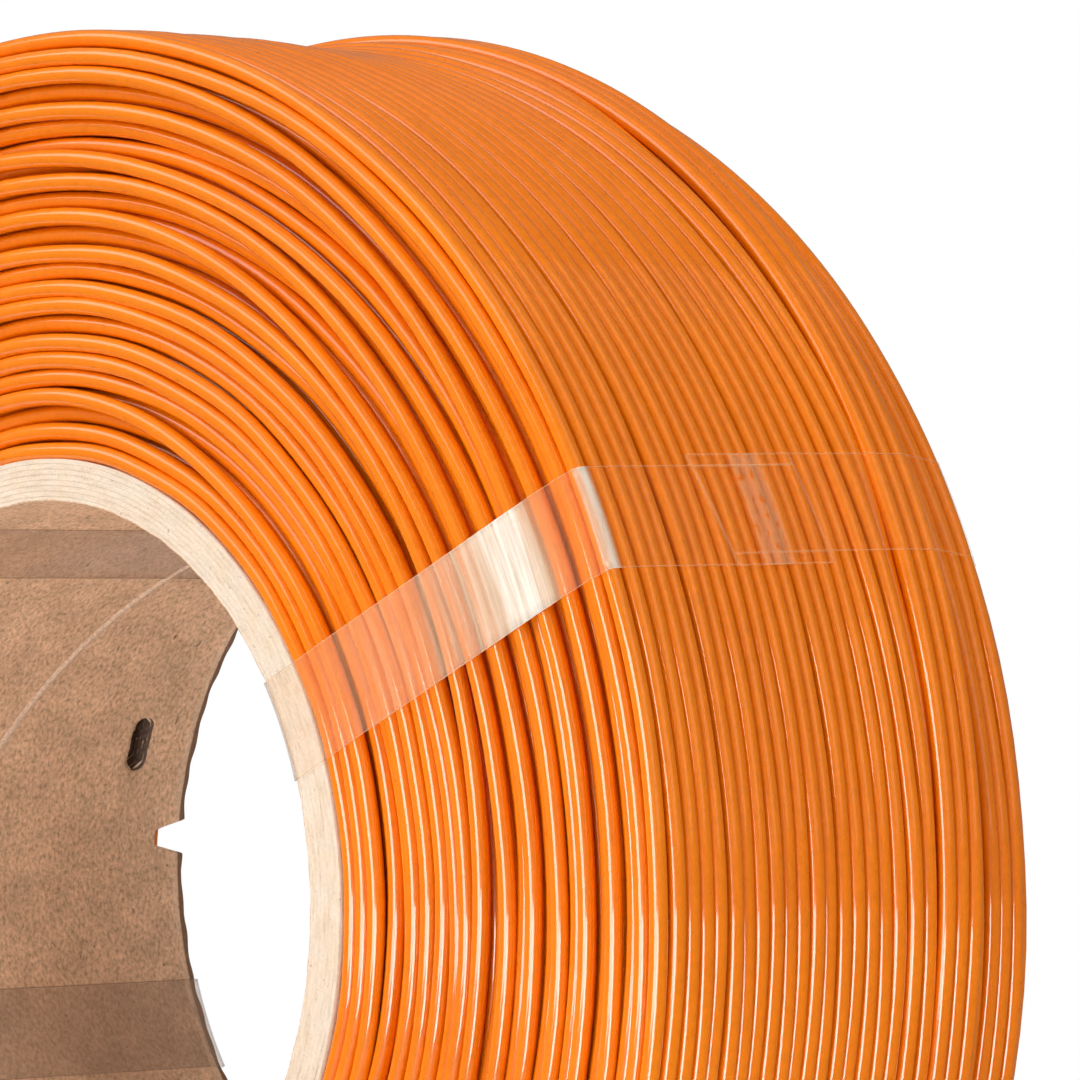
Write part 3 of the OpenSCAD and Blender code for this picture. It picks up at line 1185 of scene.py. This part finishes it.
def crossings(degrees):
    """Where the strand's path crosses a direction from the axis, as radius and place."""
    found = []
    target = math.radians(degrees)
    for angle, radius, place in wound:
        first_turn = math.ceil((angle[0] - target) / TURN)
        last_turn = math.floor((angle[-1] - target) / TURN)
        at = target + np.arange(first_turn, last_turn + 1) * TURN
        found += list(zip(np.interp(at, angle, radius), np.interp(at, angle, place)))
    return found


def hull(points):
    """Andrew's monotone chain: the convex hull of points in a plane, as a closed loop."""
    points = sorted(set(points))

    def chain(run):
        kept = []
        for p in run:
            while len(kept) > 1:
                (ax, ay), (bx, by) = kept[-2], kept[-1]
                if (bx - ax) * (p[1] - ay) - (by - ay) * (p[0] - ax) > 0:
                    break
                kept.pop()
            kept.append(p)
        return kept[:-1]

    return chain(points) + chain(points[::-1])


def tight_loop(degrees):
    """Points of the tight way around, starting on the rim and going to the front."""
    round_points = []
    for radius, place in crossings(degrees):
        for step in range(HULL_STEPS):
            turn = step * TURN / HULL_STEPS
            reach = strand_r + TAPE_GAP
            round_points.append((radius + reach * math.cos(turn), place + reach * math.sin(turn)))
    for radius in (bore_r - TAPE_GAP, tube_r):
        for side in (-1, 1):
            round_points.append((radius, side * (tube_end + TAPE_END_GAP)))
    loop = hull([(float(r), float(y)) for r, y in round_points])
    for k, (first, second) in enumerate(zip(loop, loop[1:] + loop[:1])):
        low, high = sorted((first[1], second[1]))
        if min(first[0], second[0]) > ON_RIM and low <= OVERLAP_START < high:
            share = (OVERLAP_START - first[1]) / (second[1] - first[1])
            start = k + 1
            middle = (first[0] + (second[0] - first[0]) * share, OVERLAP_START)
    loop = [middle] + loop[start:] + loop[:start]
    if loop[1][1] > loop[0][1]:
        loop = [loop[0]] + loop[1:][::-1]
    return loop


# %% Lay a line along the loop
TAPE_STEP = 0.35 * MM
LONG_STRETCH, LONG_DIP = 6 * MM, 0.03 * MM
SHORT_DIP, DIP_SHARE = 0.07 * MM, 0.035


def strap_path(loop):
    """Evenly spaced points along the loop, with a dip between the points that hold it up."""
    middle_r = sum(r for r, y in loop) / len(loop)
    path = []
    for (r0, y0), (r1, y1) in zip(loop, loop[1:] + loop[:1]):
        length = math.hypot(r1 - r0, y1 - y0)
        if length < 1e-7:
            continue
        out_r, out_y = (y0 - y1) / length, (r1 - r0) / length
        steps = max(1, round(length / TAPE_STEP))
        dip = min(SHORT_DIP, DIP_SHARE * length) if length < LONG_STRETCH else LONG_DIP
        if r0 < bore_r + MM and r1 < bore_r + MM:
            dip = 0
        for step in range(steps):
            share = step / steps
            sag = dip * 4 * share * (1 - share)
            r, y = r0 + (r1 - r0) * share, y0 + (y1 - y0) * share
            facing = -1 if out_r * (r - middle_r) + out_y * y < 0 else 1
            path.append((r, y, facing * out_r, facing * out_y, sag))
    return path


# %% Corners of a strap
TAPE_COLUMNS = 10


def wrinkles(count, chance_number):
    """Small chance heights all over the strip, smoothed along it."""
    heights = np.random.default_rng(chance_number).normal(0, 0.008 * MM, (count, TAPE_COLUMNS + 1))
    for _ in range(3):
        heights = (heights + np.roll(heights, 1, 0) + np.roll(heights, -1, 0)) / 2.2
    return heights


def strap_corners(path, lap, degrees, wrinkle):
    """Corners of the strip's underside, then of its outside, row by row from the double part on."""
    direction = math.radians(degrees)
    outward = np.array([math.cos(direction), 0, math.sin(direction)])
    sideways = np.array([-math.sin(direction), 0, math.cos(direction)])
    axis = np.array([0, 1.0, 0])
    count = len(path)
    lower, upper = [], []
    for n, (r, y, out_r, out_y, sag) in enumerate(path):
        doubled = n <= lap
        skew = SKEW * (2 * n / count - 1)
        low = -TAPE_HALF + (-SKEW if doubled else skew)
        high = TAPE_HALF + (SKEW if doubled else skew)
        near_start = max(0.0, 1 - min(n, count - n) / SLANT_ROWS)
        near_end = max(0.0, 1 - abs(n - lap) / SLANT_ROWS)
        for column in range(TAPE_COLUMNS + 1):
            share = column / TAPE_COLUMNS
            side = low + (high - low) * share
            slant = (START_SLANT * near_start + END_SLANT * near_end) * (0.5 - share)
            rest = -sag + abs(wrinkle[n, column]) * (sag > 0)
            for points, push in ((lower, rest), (upper, rest + TAPE_T * (1 + doubled))):
                reach = r + out_r * push
                depth = math.sqrt(reach * reach - side * side)
                points.append(outward * depth + sideways * side + axis * (y + out_y * push + slant))
    return np.array(lower + upper)


# %% Faces of a strap and its map
def tape_mark(i, j, lap, count):
    """Place of a corner on the tape: across it, and along it with 0 to 1 in the double part."""
    across = j / TAPE_COLUMNS
    if i <= lap:
        return (across * (1 + 2 * SKEW_SHARE), i / lap)
    if i == count:
        return (across * (1 + 2 * SKEW_SHARE) - 2 * SKEW_SHARE, 3.0)
    if i > count / 2:
        return (across, max(2.0, 3 - (count - i) / lap))
    return (across, min(2.0, i / lap))


def strap_faces(lap, count):
    """Faces of the ring, and for every corner of each its place on the tape."""
    columns = TAPE_COLUMNS + 1
    below = np.arange(count * columns).reshape(count, columns)
    above = below + count * columns
    faces, marks = [], []
    for i in range(count):
        after = (i + 1) % count
        for j in range(TAPE_COLUMNS):
            corners = [(i, j), (i, j + 1), (i + 1, j + 1), (i + 1, j)]
            inside = [below[i, j], below[i, j + 1], below[after, j + 1], below[after, j]]
            outside = [above[i, j], above[i, j + 1], above[after, j + 1], above[after, j]]
            faces.append(inside[::-1])
            marks.append([tape_mark(*c, lap, count) for c in corners[::-1]])
            faces.append(outside)
            marks.append([tape_mark(*c, lap, count) for c in corners])
        for j in (0, TAPE_COLUMNS):
            edge = [below[i, j], below[after, j], above[after, j], above[i, j]]
            corners = [(i, j), (i + 1, j), (i + 1, j), (i, j)]
            faces.append(edge if j else edge[::-1])
            corners = corners if j else corners[::-1]
            marks.append([tape_mark(*c, lap, count) for c in corners])
    return [[int(v) for v in face] for face in faces], np.array(marks, float)


# %% Put the straps on
def strap_mesh(name, degrees, chance_number):
    path = strap_path(tight_loop(degrees))
    count = len(path)
    lap = next(n for n, point in enumerate(path) if point[1] <= OVERLAP_END)
    points = strap_corners(path, lap, degrees, wrinkles(count, chance_number))
    faces, marks = strap_faces(lap, count)
    piece = new_piece(name, points.tolist(), faces, [tape])
    piece.data.update()
    piece.data.uv_layers.new(name="along_tape").data.foreach_set("uv", marks.ravel())
    piece.data.polygons.foreach_set("use_smooth", [True] * len(faces))
    print("strap", name, "rows", count, "of them double", lap, "faces", len(faces))
    return piece


for number, degrees in enumerate(STRAP_ANGLES, 1):
    strap = strap_mesh(f"strap_{number}", degrees, 40 + number)
    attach(strap, "root")
    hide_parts(f"tape_strap_{number}")
